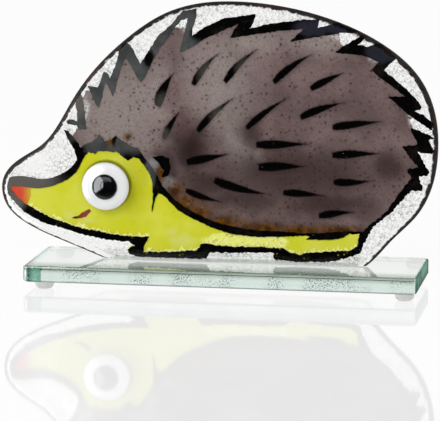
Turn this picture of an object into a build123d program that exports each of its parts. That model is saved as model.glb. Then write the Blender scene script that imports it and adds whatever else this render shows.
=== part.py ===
from build123d import *
import os

# Hedgehog ornament of fused glass, in millimetres.
# +Z is up, +X runs from the nose to the tail, and the drawing faces -Y.
# The origin lies on the standing surface, under the middle of the whole ornament.

# Clear bumpers under the base, stuck on by hand
FOOT_DIAMETER = 9.4
FOOT_HEIGHT = 3.6
FOOT_FLAT_DIAMETER = 4.4
FOOT_RIM_HEIGHT = 0.8
FOOT_LEFT_INSET = 9.9
FOOT_RIGHT_INSET = 6.2
FOOT_EDGE_INSET = 5.4

# Base, a strip of float glass with polished edges
BASE_LENGTH = 192.0
BASE_DEPTH = 56.0
BASE_THICKNESS = 8.0
BASE_CORNER_RADIUS = 3.0
BASE_EDGE_RADIUS = 1.2
BASE_SHIFT = 4.8

# Adhesive under the panel, with a small hollow bead along both faces
BOND_THICKNESS = 0.4
BEAD_HEIGHT = 0.9
BEAD_WIDTH = 0.9
BEAD_SAG_SHARE = 0.4
BOND_SPAN_SHARES = (0.262, 0.822)

# Panel, two fused sheets with a round rim and a standing edge that is ground flat
PANEL_WIDTH = 215.0
PANEL_HEIGHT = 127.0
FRONT_SHEET_THICKNESS = 2.6
BACK_SHEET_THICKNESS = 3.4
RIM_RADIUS = 2.4
RIM_LIMIT_SHARE = 0.9

# Coloured glass, sunk into the back sheet
COLOUR_THICKNESS = 0.8
QUILL_WIDTH = 4.0
QUILL_ROOT_SHARE = 0.62
QUILL_BELLY_SHARE = 0.30
QUILL_SHOULDER_SHARE = 0.68
QUILL_TAPER_SHARE = 0.48

# Raised eye on the front face
EYE_DIAMETER = 23.5
EYE_THICKNESS = 2.4
EYE_RIM_HEIGHT = 0.8
EYE_LAND_CLEARANCE = 0.6
PUPIL_DIAMETER = 12.5
PUPIL_HEIGHT = 2.8
PUPIL_RIM_HEIGHT = 0.7
PUPIL_EDGE_RADIUS = 0.6
EYE_CENTRE_SHARES = (0.2445, 0.281)

# Outline of the panel in shares of its width and height, from the nose over the back to the chin.
# It dips below the standing edge, and grinding takes that part away.
PANEL_OUTLINE_SHARES = (
    (0.000, 0.260), (0.012, 0.328), (0.043, 0.377), (0.096, 0.436), (0.127, 0.498), (0.168, 0.615),
    (0.220, 0.734), (0.300, 0.862), (0.380, 0.950), (0.460, 0.991), (0.540, 1.000), (0.640, 0.986),
    (0.760, 0.937), (0.880, 0.841), (0.958, 0.720), (0.994, 0.575), (1.000, 0.460), (0.990, 0.325),
    (0.955, 0.200), (0.898, 0.100), (0.842, 0.000), (0.780, -0.048), (0.540, -0.060),
    (0.310, -0.045), (0.235, 0.000), (0.150, 0.056), (0.063, 0.119), (0.017, 0.180),
)

# Zig-zag line of the back, from the brow to the crown: outer edge first, then the inner edge back
BACK_LEFT_SHARES = (
    (0.203, 0.666), (0.227, 0.660), (0.240, 0.722), (0.249, 0.716), (0.254, 0.697), (0.267, 0.745),
    (0.276, 0.802), (0.287, 0.828), (0.294, 0.836), (0.307, 0.813), (0.324, 0.754), (0.340, 0.794),
    (0.365, 0.863), (0.400, 0.913), (0.412, 0.943), (0.422, 0.958), (0.453, 0.970), (0.454, 0.947),
    (0.444, 0.893), (0.443, 0.866), (0.475, 0.903), (0.515, 0.935), (0.587, 0.954), (0.584, 0.926),
    (0.574, 0.899), (0.620, 0.918), (0.700, 0.937), (0.731, 0.934), (0.728, 0.906), (0.757, 0.918),
    (0.768, 0.922), (0.818, 0.890), (0.780, 0.889), (0.740, 0.877), (0.667, 0.853), (0.685, 0.883),
    (0.697, 0.903), (0.640, 0.893), (0.560, 0.871), (0.531, 0.863), (0.540, 0.893), (0.550, 0.918),
    (0.480, 0.865), (0.440, 0.823), (0.415, 0.804), (0.425, 0.868), (0.434, 0.935), (0.418, 0.926),
    (0.400, 0.888), (0.365, 0.808), (0.335, 0.709), (0.325, 0.684), (0.303, 0.749), (0.290, 0.784),
    (0.273, 0.704), (0.261, 0.627), (0.250, 0.670), (0.243, 0.689), (0.235, 0.625), (0.227, 0.582),
    (0.216, 0.612), (0.208, 0.650),
)

# Zig-zag line of the back, over the hip
BACK_RIGHT_SHARES = (
    (0.768, 0.815), (0.785, 0.838), (0.800, 0.853), (0.826, 0.878), (0.834, 0.870), (0.818, 0.845),
    (0.840, 0.838), (0.857, 0.846), (0.864, 0.846), (0.882, 0.826), (0.903, 0.794), (0.887, 0.771),
    (0.877, 0.751), (0.915, 0.699), (0.955, 0.635), (0.962, 0.615), (0.958, 0.604), (0.945, 0.599),
    (0.965, 0.585), (0.987, 0.554), (0.985, 0.528), (0.955, 0.560), (0.932, 0.587), (0.900, 0.635),
    (0.888, 0.651), (0.925, 0.653), (0.900, 0.689), (0.870, 0.722), (0.850, 0.751), (0.866, 0.781),
    (0.840, 0.802), (0.810, 0.810),
)

# Zig-zag line of the rump, down to the hind foot
RUMP_SHARES = (
    (0.937, 0.534), (0.950, 0.529), (0.975, 0.511), (0.989, 0.496), (0.976, 0.491), (0.985, 0.464),
    (0.990, 0.446), (0.984, 0.437), (0.955, 0.443), (0.965, 0.412), (0.981, 0.364), (0.977, 0.355),
    (0.957, 0.351), (0.962, 0.322), (0.967, 0.306), (0.963, 0.298), (0.942, 0.296), (0.920, 0.258),
    (0.900, 0.213), (0.875, 0.179), (0.855, 0.149), (0.845, 0.119), (0.835, 0.089), (0.830, 0.058),
    (0.815, 0.052), (0.822, 0.079), (0.825, 0.119), (0.840, 0.144), (0.855, 0.164), (0.885, 0.208),
    (0.905, 0.258), (0.927, 0.312), (0.941, 0.339), (0.931, 0.376), (0.958, 0.383), (0.945, 0.407),
    (0.922, 0.462), (0.957, 0.473), (0.947, 0.501),
)

# Stroke of the temple, in front of the zig-zag
TEMPLE_SHARES = (
    (0.152, 0.528), (0.160, 0.536), (0.178, 0.527), (0.178, 0.565), (0.174, 0.595), (0.185, 0.636),
    (0.190, 0.620), (0.195, 0.556), (0.197, 0.500), (0.180, 0.500), (0.177, 0.513), (0.157, 0.517),
)

# Line of the snout: its curved upper edge, the hairline above it, and its curved lower edge
SNOUT_UPPER_SHARES = (
    (0.018, 0.300), (0.055, 0.308), (0.110, 0.301), (0.130, 0.313), (0.150, 0.331), (0.177, 0.378),
)
SNOUT_HAIR_SHARES = (
    (0.177, 0.378), (0.171, 0.417), (0.157, 0.456), (0.147, 0.493), (0.156, 0.490), (0.172, 0.456),
    (0.183, 0.432), (0.197, 0.402),
)
SNOUT_LOWER_SHARES = (
    (0.197, 0.402), (0.188, 0.375), (0.178, 0.342), (0.160, 0.310), (0.120, 0.276), (0.080, 0.264),
    (0.040, 0.270), (0.011, 0.263),
)

# Line of the chin: its curved lower and upper edges
CHIN_LOWER_SHARES = (
    (0.016, 0.277), (0.013, 0.250), (0.025, 0.218), (0.055, 0.167), (0.140, 0.111), (0.220, 0.078),
    (0.295, 0.066),
)
CHIN_UPPER_SHARES = (
    (0.342, 0.086), (0.300, 0.085), (0.240, 0.096), (0.160, 0.123), (0.080, 0.177), (0.040, 0.220),
    (0.022, 0.260), (0.021, 0.278),
)

# Line of the feet and the belly's underside: lower edge, then the upper edge back
FEET_SHARES = (
    (0.295, 0.066), (0.310, 0.050), (0.294, 0.035), (0.295, 0.020), (0.305, 0.012), (0.325, 0.007),
    (0.473, 0.007), (0.478, 0.020), (0.485, 0.033), (0.540, 0.034), (0.625, 0.042), (0.632, 0.035),
    (0.630, 0.020), (0.636, 0.010), (0.655, 0.013), (0.690, 0.007), (0.750, 0.010), (0.780, 0.020),
    (0.825, 0.045), (0.830, 0.058), (0.820, 0.070), (0.800, 0.055), (0.740, 0.047), (0.705, 0.042),
    (0.690, 0.032), (0.672, 0.040), (0.655, 0.055), (0.600, 0.060), (0.540, 0.057), (0.500, 0.060),
    (0.475, 0.067), (0.465, 0.065), (0.455, 0.042), (0.445, 0.037), (0.400, 0.030), (0.330, 0.026),
    (0.330, 0.045), (0.342, 0.086),
)

# Line between the belly and the spines: its curved lower and upper edges
BELLY_LOWER_SHARES = (
    (0.365, 0.260), (0.385, 0.238), (0.405, 0.203), (0.440, 0.167), (0.480, 0.137), (0.540, 0.107),
    (0.580, 0.101), (0.640, 0.102), (0.697, 0.110),
)
BELLY_UPPER_SHARES = (
    (0.697, 0.115), (0.660, 0.121), (0.580, 0.125), (0.540, 0.134), (0.500, 0.149), (0.465, 0.171),
    (0.425, 0.206), (0.395, 0.245), (0.385, 0.265),
)

# Strokes beside the face
NECK_SHARES = (
    (0.322, 0.388), (0.335, 0.358), (0.346, 0.330), (0.352, 0.298), (0.353, 0.248), (0.350, 0.186),
    (0.358, 0.238), (0.365, 0.260), (0.385, 0.265), (0.372, 0.290), (0.364, 0.318), (0.352, 0.352),
    (0.340, 0.378), (0.330, 0.397),
)
EAR_SHARES = (
    (0.352, 0.397), (0.375, 0.402), (0.388, 0.392), (0.393, 0.357), (0.388, 0.327), (0.374, 0.322),
    (0.379, 0.347), (0.362, 0.380),
)
BROW_SHARES = (
    (0.189, 0.384), (0.203, 0.412), (0.218, 0.405), (0.230, 0.417), (0.250, 0.417), (0.262, 0.412),
    (0.270, 0.415), (0.283, 0.395), (0.295, 0.384), (0.310, 0.397), (0.322, 0.388), (0.330, 0.397),
    (0.318, 0.427), (0.305, 0.434), (0.275, 0.464), (0.267, 0.478), (0.258, 0.461), (0.242, 0.454),
    (0.228, 0.478), (0.222, 0.461), (0.200, 0.441), (0.180, 0.420),
)
TAIL_SHARES = (
    (0.705, 0.095), (0.715, 0.107), (0.730, 0.117), (0.750, 0.123), (0.810, 0.131), (0.790, 0.109),
    (0.775, 0.101), (0.755, 0.096),
)
NOSE_SHARES = (
    (0.014, 0.262), (0.030, 0.280), (0.061, 0.280), (0.068, 0.256), (0.067, 0.236), (0.063, 0.214),
    (0.056, 0.184), (0.030, 0.222),
)
CHEEK_SHARES = (
    (0.163, 0.150), (0.180, 0.150), (0.193, 0.156), (0.208, 0.178), (0.205, 0.185), (0.194, 0.177),
    (0.180, 0.161),
)

# Border between the belly's yellow and the spines, along the middle of the belly line
BORDER_SHARES = (
    (0.322, 0.398), (0.343, 0.360), (0.356, 0.325), (0.365, 0.290), (0.372, 0.262), (0.396, 0.228),
    (0.430, 0.189), (0.470, 0.156), (0.540, 0.121), (0.600, 0.112), (0.700, 0.112), (0.740, 0.118),
    (0.800, 0.126), (0.832, 0.126),
)

# Rest of the yellow's border, inside the black lines: hind foot, belly, front foot, chin, snout, brow
FACE_REST_SHARES = (
    (0.828, 0.085), (0.818, 0.056), (0.770, 0.035), (0.715, 0.028), (0.690, 0.020), (0.655, 0.034),
    (0.640, 0.048), (0.540, 0.046), (0.490, 0.048), (0.470, 0.044), (0.462, 0.022), (0.400, 0.018),
    (0.322, 0.016), (0.318, 0.040), (0.326, 0.070), (0.290, 0.076), (0.220, 0.089), (0.140, 0.122),
    (0.070, 0.170), (0.040, 0.205), (0.040, 0.284), (0.080, 0.286), (0.120, 0.290),
    (0.150, 0.316), (0.170, 0.344), (0.182, 0.380), (0.196, 0.420), (0.218, 0.434), (0.262, 0.436),
    (0.284, 0.420), (0.304, 0.412),
)

# Rest of the spines' border, inside the black lines but across the clear tips of some teeth:
# rump, hip, crown, forehead, temple, brow
SPINE_REST_SHARES = (
    (0.849, 0.148), (0.870, 0.178), (0.895, 0.216), (0.913, 0.258), (0.935, 0.302), (0.952, 0.330),
    (0.946, 0.362), (0.968, 0.374), (0.955, 0.410), (0.940, 0.452), (0.966, 0.482), (0.956, 0.510),
    (0.944, 0.526), (0.934, 0.556), (0.940, 0.588), (0.916, 0.626), (0.944, 0.632), (0.908, 0.692),
    (0.864, 0.748), (0.876, 0.784), (0.846, 0.816), (0.800, 0.836), (0.782, 0.826), (0.776, 0.862),
    (0.772, 0.898), (0.700, 0.882), (0.712, 0.920), (0.620, 0.904), (0.553, 0.882), (0.564, 0.938),
    (0.500, 0.906), (0.462, 0.868), (0.428, 0.838), (0.432, 0.890), (0.396, 0.892), (0.362, 0.828),
    (0.325, 0.720), (0.290, 0.808), (0.280, 0.776), (0.258, 0.664), (0.243, 0.706), (0.227, 0.622),
    (0.212, 0.645), (0.200, 0.640), (0.190, 0.600), (0.190, 0.510), (0.178, 0.490), (0.168, 0.470),
    (0.190, 0.424), (0.218, 0.434), (0.262, 0.436), (0.284, 0.420), (0.304, 0.412),
)

# Quills: root across and up, tip across and up, width, and upward bow, all in shares
QUILL_SHARES = (
    (0.364, 0.594, 0.405, 0.729, 1.20, 0.06),
    (0.378, 0.468, 0.419, 0.584, 0.76, 0.04),
    (0.446, 0.680, 0.505, 0.804, 0.88, 0.05),
    (0.456, 0.502, 0.542, 0.636, 0.88, 0.04),
    (0.431, 0.381, 0.531, 0.418, 1.00, 0.00),
    (0.429, 0.272, 0.513, 0.230, 0.80, -0.03),
    (0.494, 0.314, 0.621, 0.265, 1.05, -0.03),
    (0.518, 0.692, 0.596, 0.825, 0.86, 0.05),
    (0.629, 0.696, 0.719, 0.809, 0.88, 0.04),
    (0.713, 0.674, 0.792, 0.741, 0.88, 0.02),
    (0.568, 0.518, 0.662, 0.638, 0.80, 0.03),
    (0.690, 0.564, 0.792, 0.626, 0.94, 0.03),
    (0.763, 0.529, 0.876, 0.556, 0.98, 0.01),
    (0.590, 0.455, 0.714, 0.463, 1.06, 0.00),
    (0.763, 0.422, 0.876, 0.433, 0.98, 0.01),
    (0.595, 0.369, 0.706, 0.376, 1.12, 0.01),
    (0.766, 0.319, 0.853, 0.328, 0.90, -0.02),
    (0.652, 0.273, 0.746, 0.265, 0.90, 0.01),
    (0.733, 0.187, 0.816, 0.206, 0.92, 0.02),
)

# Heights and depths that follow from the sizes
BASE_TOP = FOOT_HEIGHT + BASE_THICKNESS
PANEL_BOTTOM = BASE_TOP + BOND_THICKNESS
PANEL_THICKNESS = FRONT_SHEET_THICKNESS + BACK_SHEET_THICKNESS
FRONT_Y = -PANEL_THICKNESS / 2
SEAM_Y = FRONT_Y + FRONT_SHEET_THICKNESS
BACK_Y = PANEL_THICKNESS / 2
COLOUR_BACK_Y = SEAM_Y + COLOUR_THICKNESS
FRONT_RIM_RADIUS = min(RIM_RADIUS, RIM_LIMIT_SHARE * FRONT_SHEET_THICKNESS)
BACK_RIM_RADIUS = min(RIM_RADIUS, RIM_LIMIT_SHARE * BACK_SHEET_THICKNESS)
COLOUR_PLANE = Plane.XZ.offset(-COLOUR_BACK_Y)


def place(share):
    """A share of the panel's width and height as a point of the drawing."""
    across, up = share
    return (across * PANEL_WIDTH - PANEL_WIDTH / 2, PANEL_BOTTOM + up * PANEL_HEIGHT)


def places(shares):
    return [place(share) for share in shares]


def finish(builder, name):
    """Names a finished piece and writes its file."""
    builder.part.label = name
    export_step(builder.part, f"parts/{name}.step")


def straight_stroke(shares):
    """Coloured glass whose outline runs straight between its corners."""
    with BuildPart() as stroke:
        with BuildSketch(COLOUR_PLANE):
            with BuildLine():
                Polyline(*places(shares), close=True)
            make_face()
        extrude(amount=COLOUR_THICKNESS)
    return stroke


def cut_by(piece, others):
    """The piece with the room of its neighbours taken out of it."""
    with BuildPart() as rest:
        add(piece.part)
        for other in others:
            add(other.part, mode=Mode.SUBTRACT)
    return rest


def quill(root_across, root_up, tip_across, tip_up, width_share, bow_share):
    """A blunt root that swells a little and then tapers to a fine tip, bent by its bow."""
    root = Vector(*place((root_across, root_up)))
    tip = Vector(*place((tip_across, tip_up)))
    along = tip - root
    side = Vector(-along.Y, along.X).normalized() * (width_share * QUILL_WIDTH / 2)
    bow = Vector(-along.Y, along.X) * bow_share
    belly = root + along * QUILL_BELLY_SHARE + bow
    shoulder = root + along * QUILL_SHOULDER_SHARE + bow
    root_side = side * QUILL_ROOT_SHARE
    taper_side = side * QUILL_TAPER_SHARE
    with BuildPart() as stroke:
        with BuildSketch(COLOUR_PLANE):
            with BuildLine():
                Spline(root + root_side, belly + side, shoulder + taper_side, tip)
                Spline(tip, shoulder - taper_side, belly - side, root - root_side)
                Line(root - root_side, root + root_side)
            make_face()
        extrude(amount=COLOUR_THICKNESS)
    return stroke


def sheet(outer_y, inner_y, rim_radius):
    """One sheet of the panel: round outer rim, flat inner face, ground flat below."""
    toward_inner = outer_y - inner_y
    with BuildPart() as glass:
        with BuildSketch(Plane.XZ.offset(-inner_y)):
            with BuildLine():
                Spline(*places(PANEL_OUTLINE_SHARES), periodic=True)
            make_face()
        extrude(amount=-toward_inner)
        outer_face = glass.faces().filter_by(Axis.Y).sort_by(Axis((0, 0, 0), (0, toward_inner, 0)))[-1]
        fillet(outer_face.edges(), radius=rim_radius)
        split(bisect_by=Plane.XY.offset(PANEL_BOTTOM), keep=Keep.TOP)
    return glass


os.makedirs("parts", exist_ok=True)

# Base
with BuildPart() as base_plate:
    with BuildSketch(Plane((BASE_SHIFT, 0, FOOT_HEIGHT))):
        RectangleRounded(BASE_LENGTH, BASE_DEPTH, BASE_CORNER_RADIUS)
    extrude(amount=BASE_THICKNESS)
    rims = base_plate.faces().filter_by(Axis.Z).edges()
    fillet(rims, radius=BASE_EDGE_RADIUS)
finish(base_plate, "base_plate")

# Bumpers, each a dome with a small flat and a straight rim against the base
FOOT_LEFT_X = BASE_SHIFT - BASE_LENGTH / 2 + FOOT_LEFT_INSET
FOOT_RIGHT_X = BASE_SHIFT + BASE_LENGTH / 2 - FOOT_RIGHT_INSET
FOOT_Y = BASE_DEPTH / 2 - FOOT_EDGE_INSET
FOOT_PLACES = {
    "foot_front_left": (FOOT_LEFT_X, -FOOT_Y),
    "foot_front_right": (FOOT_RIGHT_X, -FOOT_Y),
    "foot_rear_left": (FOOT_LEFT_X, FOOT_Y),
    "foot_rear_right": (FOOT_RIGHT_X, FOOT_Y),
}
for name, (foot_x, foot_y) in FOOT_PLACES.items():
    foot_rim = FOOT_DIAMETER / 2
    foot_flat = FOOT_FLAT_DIAMETER / 2
    dome_top = FOOT_HEIGHT - FOOT_RIM_HEIGHT
    with BuildPart() as foot:
        with BuildSketch(Plane((foot_x, foot_y, 0), x_dir=(1, 0, 0), z_dir=(0, -1, 0))):
            with BuildLine():
                Line((0, 0), (foot_flat, 0))
                EllipticalCenterArc((foot_flat, dome_top), foot_rim - foot_flat, dome_top, 270, arc_size=90)
                Line((foot_rim, dome_top), (foot_rim, FOOT_HEIGHT))
                Line((foot_rim, FOOT_HEIGHT), (0, FOOT_HEIGHT))
                Line((0, FOOT_HEIGHT), (0, 0))
            make_face()
        revolve(axis=Axis((foot_x, foot_y, 0), (0, 0, 1)))
    finish(foot, name)

# Adhesive: a film under the standing edge, and a hollow bead up both faces of the panel
BOND_START, BOND_END = (share * PANEL_WIDTH - PANEL_WIDTH / 2 for share in BOND_SPAN_SHARES)
BEAD_TOP = PANEL_BOTTOM + BEAD_HEIGHT
BEAD_EDGE = BACK_Y + BEAD_WIDTH
SAG_Y = BACK_Y + BEAD_SAG_SHARE * BEAD_WIDTH
SAG_Z = BASE_TOP + BEAD_SAG_SHARE * (BEAD_TOP - BASE_TOP)
with BuildPart() as bond_bead:
    with BuildSketch(Plane.YZ.offset(BOND_START)):
        with BuildLine():
            Line((-BEAD_EDGE, BASE_TOP), (BEAD_EDGE, BASE_TOP))
            ThreePointArc((BEAD_EDGE, BASE_TOP), (SAG_Y, SAG_Z), (BACK_Y, BEAD_TOP))
            Line((BACK_Y, BEAD_TOP), (BACK_Y, PANEL_BOTTOM))
            Line((BACK_Y, PANEL_BOTTOM), (FRONT_Y, PANEL_BOTTOM))
            Line((FRONT_Y, PANEL_BOTTOM), (FRONT_Y, BEAD_TOP))
            ThreePointArc((FRONT_Y, BEAD_TOP), (-SAG_Y, SAG_Z), (-BEAD_EDGE, BASE_TOP))
        make_face()
    extrude(amount=BOND_END - BOND_START)
finish(bond_bead, "bond_bead")

# Curved black lines
with BuildPart() as snout_outline:
    with BuildSketch(COLOUR_PLANE):
        with BuildLine():
            Spline(*places(SNOUT_UPPER_SHARES))
            Polyline(*places(SNOUT_HAIR_SHARES))
            Spline(*places(SNOUT_LOWER_SHARES))
            Line(place(SNOUT_LOWER_SHARES[-1]), place(SNOUT_UPPER_SHARES[0]))
        make_face()
    extrude(amount=COLOUR_THICKNESS)

with BuildPart() as lower_outline:
    with BuildSketch(COLOUR_PLANE):
        with BuildLine():
            Spline(*places(CHIN_LOWER_SHARES))
            Polyline(*places(FEET_SHARES))
            Spline(*places(CHIN_UPPER_SHARES))
            Line(place(CHIN_UPPER_SHARES[-1]), place(CHIN_LOWER_SHARES[0]))
        make_face()
    extrude(amount=COLOUR_THICKNESS)

with BuildPart() as belly_line:
    with BuildSketch(COLOUR_PLANE):
        with BuildLine():
            Spline(*places(BELLY_LOWER_SHARES))
            Line(place(BELLY_LOWER_SHARES[-1]), place(BELLY_UPPER_SHARES[0]))
            Spline(*places(BELLY_UPPER_SHARES))
            Line(place(BELLY_UPPER_SHARES[-1]), place(BELLY_LOWER_SHARES[0]))
        make_face()
    extrude(amount=COLOUR_THICKNESS)

# Black lines and strokes with straight sides, each cut by the line that it runs into
lower_outline = cut_by(lower_outline, [snout_outline])
rump_outline = cut_by(straight_stroke(RUMP_SHARES), [lower_outline])
brow_tufts = cut_by(straight_stroke(BROW_SHARES), [snout_outline])
neck_stroke = cut_by(straight_stroke(NECK_SHARES), [brow_tufts, belly_line])
lines = {
    "back_outline_left": straight_stroke(BACK_LEFT_SHARES),
    "back_outline_right": straight_stroke(BACK_RIGHT_SHARES),
    "rump_outline": rump_outline,
    "temple_stroke": straight_stroke(TEMPLE_SHARES),
    "snout_outline": snout_outline,
    "lower_outline": lower_outline,
    "belly_line": belly_line,
    "neck_stroke": neck_stroke,
    "ear_stroke": straight_stroke(EAR_SHARES),
    "brow_tufts": brow_tufts,
    "tail_stroke": straight_stroke(TAIL_SHARES),
}

# Quills
for number, shares in enumerate(QUILL_SHARES, start=1):
    lines[f"quill_{number:02d}"] = quill(*shares)

# Coloured fields, each with the room of the lines taken out of it
nose_patch = cut_by(straight_stroke(NOSE_SHARES), [snout_outline, lower_outline])
cheek_stroke = straight_stroke(CHEEK_SHARES)
face_drawn = straight_stroke(BORDER_SHARES + FACE_REST_SHARES)
face_field = cut_by(face_drawn, [nose_patch, cheek_stroke, *lines.values()])
spine_drawn = straight_stroke(BORDER_SHARES + SPINE_REST_SHARES)
spine_field = cut_by(spine_drawn, [face_field, *lines.values()])
inlays = {
    "nose_patch": nose_patch,
    "cheek_stroke": cheek_stroke,
    "face_field": face_field,
    "spine_field": spine_field,
    **lines,
}
for name, inlay in inlays.items():
    finish(inlay, name)

# Panel
front_sheet = sheet(FRONT_Y, SEAM_Y, FRONT_RIM_RADIUS)
finish(front_sheet, "front_sheet")
with BuildPart() as colour_layer:
    for inlay in inlays.values():
        add(inlay.part)
back_sheet = cut_by(sheet(BACK_Y, SEAM_Y, BACK_RIM_RADIUS), [colour_layer])
finish(back_sheet, "back_sheet")

# Eye: a white disc with a round edge, and a black dome on its flat land
EYE_X, EYE_Z = place(EYE_CENTRE_SHARES)
EYE_AXIS = Axis((EYE_X, FRONT_Y, EYE_Z), (0, 1, 0))
EYE_PLANE = Plane((EYE_X, FRONT_Y, EYE_Z), x_dir=(1, 0, 0), z_dir=(0, 0, -1))
EYE_RADIUS = EYE_DIAMETER / 2
EYE_LAND = PUPIL_DIAMETER / 2 + EYE_LAND_CLEARANCE
EYE_EDGE = EYE_THICKNESS - EYE_RIM_HEIGHT
with BuildPart() as eye_white:
    with BuildSketch(EYE_PLANE):
        with BuildLine():
            Line((0, 0), (EYE_RADIUS, 0))
            Line((EYE_RADIUS, 0), (EYE_RADIUS, EYE_RIM_HEIGHT))
            EllipticalCenterArc((EYE_LAND, EYE_RIM_HEIGHT), EYE_RADIUS - EYE_LAND, EYE_EDGE, arc_size=90)
            Line((EYE_LAND, EYE_THICKNESS), (0, EYE_THICKNESS))
            Line((0, EYE_THICKNESS), (0, 0))
        make_face()
    revolve(axis=EYE_AXIS)
finish(eye_white, "eye_white")

PUPIL_RADIUS = PUPIL_DIAMETER / 2
PUPIL_SEAT = EYE_THICKNESS
PUPIL_SHOULDER = PUPIL_SEAT + PUPIL_RIM_HEIGHT
PUPIL_TOP = PUPIL_SEAT + PUPIL_HEIGHT
PUPIL_RISE = PUPIL_HEIGHT - PUPIL_RIM_HEIGHT
PUPIL_DOME_RADIUS = (PUPIL_RADIUS**2 + PUPIL_RISE**2) / (2 * PUPIL_RISE)
with BuildPart() as eye_pupil:
    with BuildSketch(EYE_PLANE):
        with BuildLine():
            Line((0, PUPIL_SEAT), (PUPIL_RADIUS, PUPIL_SEAT))
            Line((PUPIL_RADIUS, PUPIL_SEAT), (PUPIL_RADIUS, PUPIL_SHOULDER))
            RadiusArc((PUPIL_RADIUS, PUPIL_SHOULDER), (0, PUPIL_TOP), -PUPIL_DOME_RADIUS)
            Line((0, PUPIL_TOP), (0, PUPIL_SEAT))
        make_face()
    revolve(axis=EYE_AXIS)
    rings = eye_pupil.edges().filter_by(lambda edge: edge.is_closed)
    fillet(rings.sort_by(Axis.Y)[0], radius=PUPIL_EDGE_RADIUS)
finish(eye_pupil, "eye_pupil")
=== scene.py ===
"""Looks of the hedgehog ornament: clear fused glass with coloured glass inside, on a float glass base."""
import math
import random

import bmesh
import bpy
import numpy as np
from mathutils import Matrix, Vector, noise
from mathutils.geometry import delaunay_2d_cdt


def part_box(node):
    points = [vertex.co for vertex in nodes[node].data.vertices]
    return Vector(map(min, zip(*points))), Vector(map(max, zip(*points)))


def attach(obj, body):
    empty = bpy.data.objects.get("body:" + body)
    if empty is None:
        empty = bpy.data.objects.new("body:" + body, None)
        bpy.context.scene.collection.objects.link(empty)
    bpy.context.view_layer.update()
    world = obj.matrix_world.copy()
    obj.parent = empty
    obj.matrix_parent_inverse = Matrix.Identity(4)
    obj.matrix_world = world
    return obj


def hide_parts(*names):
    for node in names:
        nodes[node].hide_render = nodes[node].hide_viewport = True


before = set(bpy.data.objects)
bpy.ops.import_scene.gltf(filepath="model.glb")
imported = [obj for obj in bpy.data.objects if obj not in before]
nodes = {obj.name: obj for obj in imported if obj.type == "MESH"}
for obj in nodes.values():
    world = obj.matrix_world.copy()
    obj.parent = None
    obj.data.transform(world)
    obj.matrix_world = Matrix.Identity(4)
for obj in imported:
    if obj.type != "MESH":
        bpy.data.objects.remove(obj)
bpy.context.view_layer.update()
scene = bpy.context.scene

# Sizes of the panel in metres
MM = 0.001
TOUCH = 0.01 * MM
MERGE_DISTANCE = TOUCH / 10
PLACE_DIGITS = 7
FRONT_RIM_RADIUS = 2.34 * MM
BACK_RIM_RADIUS = 2.4 * MM
RIM_STEPS = 9
RIM_POINT_SPACING = 1.2 * MM
FACE_POINT_SPACING = 1.6 * MM
GRID_CLEAR_SHARE = 0.7

# Painted shade on the rim, a dark line that stands in for the dark its glass refracts: its width, what the
# top and the sides add, and shares for low sides and the back
RIM_LINE_MM = 0.75
RIM_LINE_TOP_MM = 0.6
RIM_LINE_LEFT_MM = 1.5
RIM_LINE_RIGHT_MM = 1.3
RIM_LINE_LOW_SHARE = 0.55
RIM_LINE_BACK_SHARE = 0.4

# Waves of the panel's faces: length and height of each
FRONT_WAVES = ((46 * MM, 0.16 * MM), (15 * MM, 0.035 * MM), (5 * MM, 0.006 * MM))
BACK_WAVES = ((34 * MM, 0.1 * MM), (9 * MM, 0.03 * MM), (3.5 * MM, 0.012 * MM))
FRONT_WAVE_SEED = 1.5
BACK_WAVE_SEED = 8.5
WAVE_FADE = 5 * MM

# Depths of the coloured layers inside the panel, as shares of the inlays' own thickness
LINE_SPAN_SHARES = (0.0, 0.35)
PATCH_SPAN_SHARES = (0.3, 0.6)
FIELD_SPAN_SHARES = (0.45, 1.0)
GLEAM_DEPTH_SHARE = 0.4

# Edges of the coloured layers: how far they are pushed out, how deep their teeth are and how long
EDGE_STEP = 0.45 * MM
LINE_LIFT = 0.12 * MM
FIELD_LIFT = 0.7 * MM
PATCH_LIFT = 0.2 * MM
PATCH_TOOTH = 0.4 * MM
PATCH_GRAIN = 1.6 * MM
QUILL_LIFT = 0.6 * MM
QUILL_TOOTH = 0.15 * MM
QUILL_GRAIN = 1.6 * MM
QUILL_FADE = 1.2 * MM
QUILL_POINT_SPACING = 0.6 * MM
GLEAM_WIDTH = 2.0 * MM
GLEAM_GRAIN = 1.1 * MM
GLEAM_SEED = 3.5
GLEAM_FACING_SHARE = 0.5
GLEAM_MEAN_SHARE = 0.5
GLEAM_LEAST_SHARE = 0.2

# Camera, fitted to the base's corners in the photograph of 440 x 421 pixels
IMAGE_WIDTH = 440
FOCAL_PIXELS = 3024.4
SENSOR_WIDTH_MM = 36
CAMERA_AZIMUTH = 10.018
CAMERA_ELEVATION = 9.684
CAMERA_DISTANCE = 1.4729
CAMERA_TARGET = Vector((0.0013, 0, 0.0368))

# Light
PLAIN_LIGHT = 0.7
KEY_POWER = 8
KEY_PLACE = Vector((-0.95, -1.15, 1.05))
KEY_SIZE = 0.7

panel_low, panel_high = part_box("front_sheet")
front_y, seam_y = panel_low.y, panel_high.y
back_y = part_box("back_sheet")[1].y
panel_bottom = panel_low.z
colour_front, colour_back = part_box("spine_field")[0].y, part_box("spine_field")[1].y


def at(across, up):
    """A share of the panel's width and height as a point (x, z)."""
    return Vector((
        panel_low.x + across * (panel_high.x - panel_low.x),
        panel_low.z + up * (panel_high.z - panel_low.z),
    ))


def depth(share):
    """A share of the coloured layer's thickness as a depth y, from its front."""
    return colour_front + share * (colour_back - colour_front)


# Shapes


def area(loop):
    """Signed area of a loop, above 0 where it runs anticlockwise as seen from the front."""
    return sum(a.cross(b) for a, b in zip(loop, loop[1:] + loop[:1])) / 2


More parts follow.
